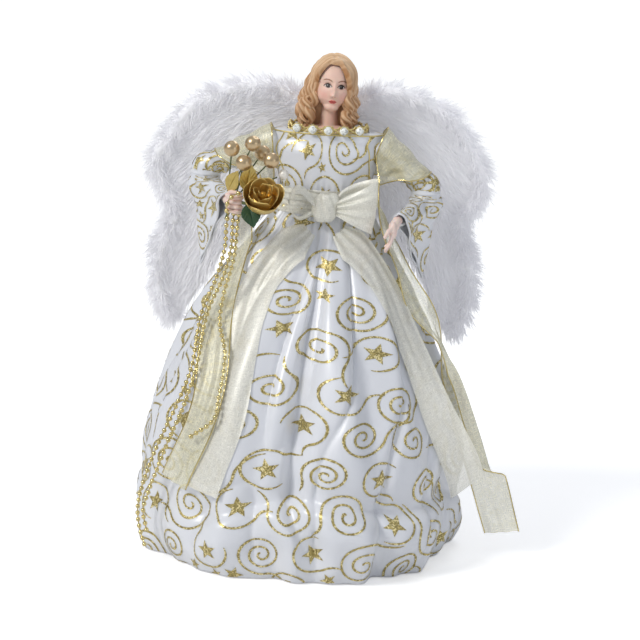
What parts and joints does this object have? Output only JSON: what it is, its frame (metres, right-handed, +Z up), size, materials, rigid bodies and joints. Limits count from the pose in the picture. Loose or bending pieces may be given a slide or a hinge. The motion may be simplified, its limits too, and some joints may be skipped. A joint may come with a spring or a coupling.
{
  "type": "angel tree topper",
  "caption": "Dressed angel doll with feathered wings on a hollow card cone that slips over the tip of a Christmas tree, holding a rose bouquet with a bead garland.",
  "frame": {"origin": "centre of the cone's open base, on the plane that the topper stands on, where the tree's tip goes in", "axes": "+Z up along the cone towards the head, -Y the way the face looks, +X her left"},
  "size_m": [0.259, 0.2121, 0.3227],
  "materials": {
    "card": "uncoated card",
    "satin": "white satin with a gold glitter print",
    "foam": "soft white padding",
    "skin": "matt painted porcelain",
    "hair": "moulded and painted strawberry blond",
    "gold_braid": "metallic gold braid",
    "stone": "clear-white faceted",
    "ivory_organza": "sheer ivory with glitter",
    "gold_organza": "sheer gold with glitter and corded edges",
    "wire": "white covered wire",
    "stem": "wrapped green",
    "gold_rose": "metallic gold cloth",
    "champagne_pearl": "pearl lustre",
    "white_pearl": "pearl lustre",
    "leaf": "dark green cloth",
    "gold_leaf": "gold cloth",
    "gold_bead": "bright gold plating",
    "feather": "white fluffy feather"
  },
  "bodies": {
    "figure": {"support_cone": "card", "skirt": "satin", "torso_form": "foam", "bodice": "satin", "head_bust": "skin", "hair": "hair", "collar_braid": "gold_braid", "collar_stone_1": "stone", "collar_stone_2": "stone", "collar_stone_3": "stone", "collar_stone_4": "stone", "collar_stone_5": "stone", "waist_sash": "ivory_organza", "bow_knot": "ivory_organza", "bow_loop_left": "ivory_organza", "bow_loop_right": "ivory_organza", "bow_tail_left": "ivory_organza", "bow_tail_right": "ivory_organza", "arm_wire": "wire", "upper_arm_right": "foam", "upper_arm_left": "foam", "stole": "gold_organza", "wing_bracket": "card"},
    "forearm_right": {"forearm_wire_right": "wire", "sleeve_right": "satin", "hand_right": "skin", "rose_stem": "stem", "rose": "gold_rose", "berry_1": "champagne_pearl", "berry_2": "champagne_pearl", "berry_3": "champagne_pearl", "berry_4": "champagne_pearl", "berry_5": "champagne_pearl", "pearl_bud": "white_pearl", "leaf_green": "leaf", "leaf_gold": "gold_leaf", "leaf_bronze": "gold_leaf", "bead_strand_long": "gold_bead", "bead_strand_pair": "gold_bead", "bead_strand_short": "gold_bead"},
    "forearm_left": {"forearm_wire_left": "wire", "sleeve_left": "satin", "hand_left": "skin"},
    "wing_right": {"wing_wire_right": "wire", "wing_panel_right": "feather", "wing_boa_right": "feather"},
    "wing_left": {"wing_wire_left": "wire", "wing_panel_left": "feather", "wing_boa_left": "feather"}
  },
  "joints": [
    {"name": "right_elbow", "type": "hinge", "parent": "figure", "child": "forearm_right", "pos_m": [-0.077, 0.002, 0.241], "axis": [0, 0, -1], "range_deg": [0, 30]},
    {"name": "left_elbow", "type": "hinge", "parent": "figure", "child": "forearm_left", "pos_m": [0.065, 0.002, 0.236], "axis": [0, 0, 1], "range_deg": [0, 30]},
    {"name": "right_wing_fold", "type": "hinge", "parent": "figure", "child": "wing_right", "pos_m": [-0.007, 0.0275, 0.262], "axis": [0, 0.1736, -0.9848], "range_deg": [0, 45]},
    {"name": "left_wing_fold", "type": "hinge", "parent": "figure", "child": "wing_left", "pos_m": [0.007, 0.0275, 0.262], "axis": [0, -0.1736, 0.9848], "range_deg": [0, 45]}
  ]
}
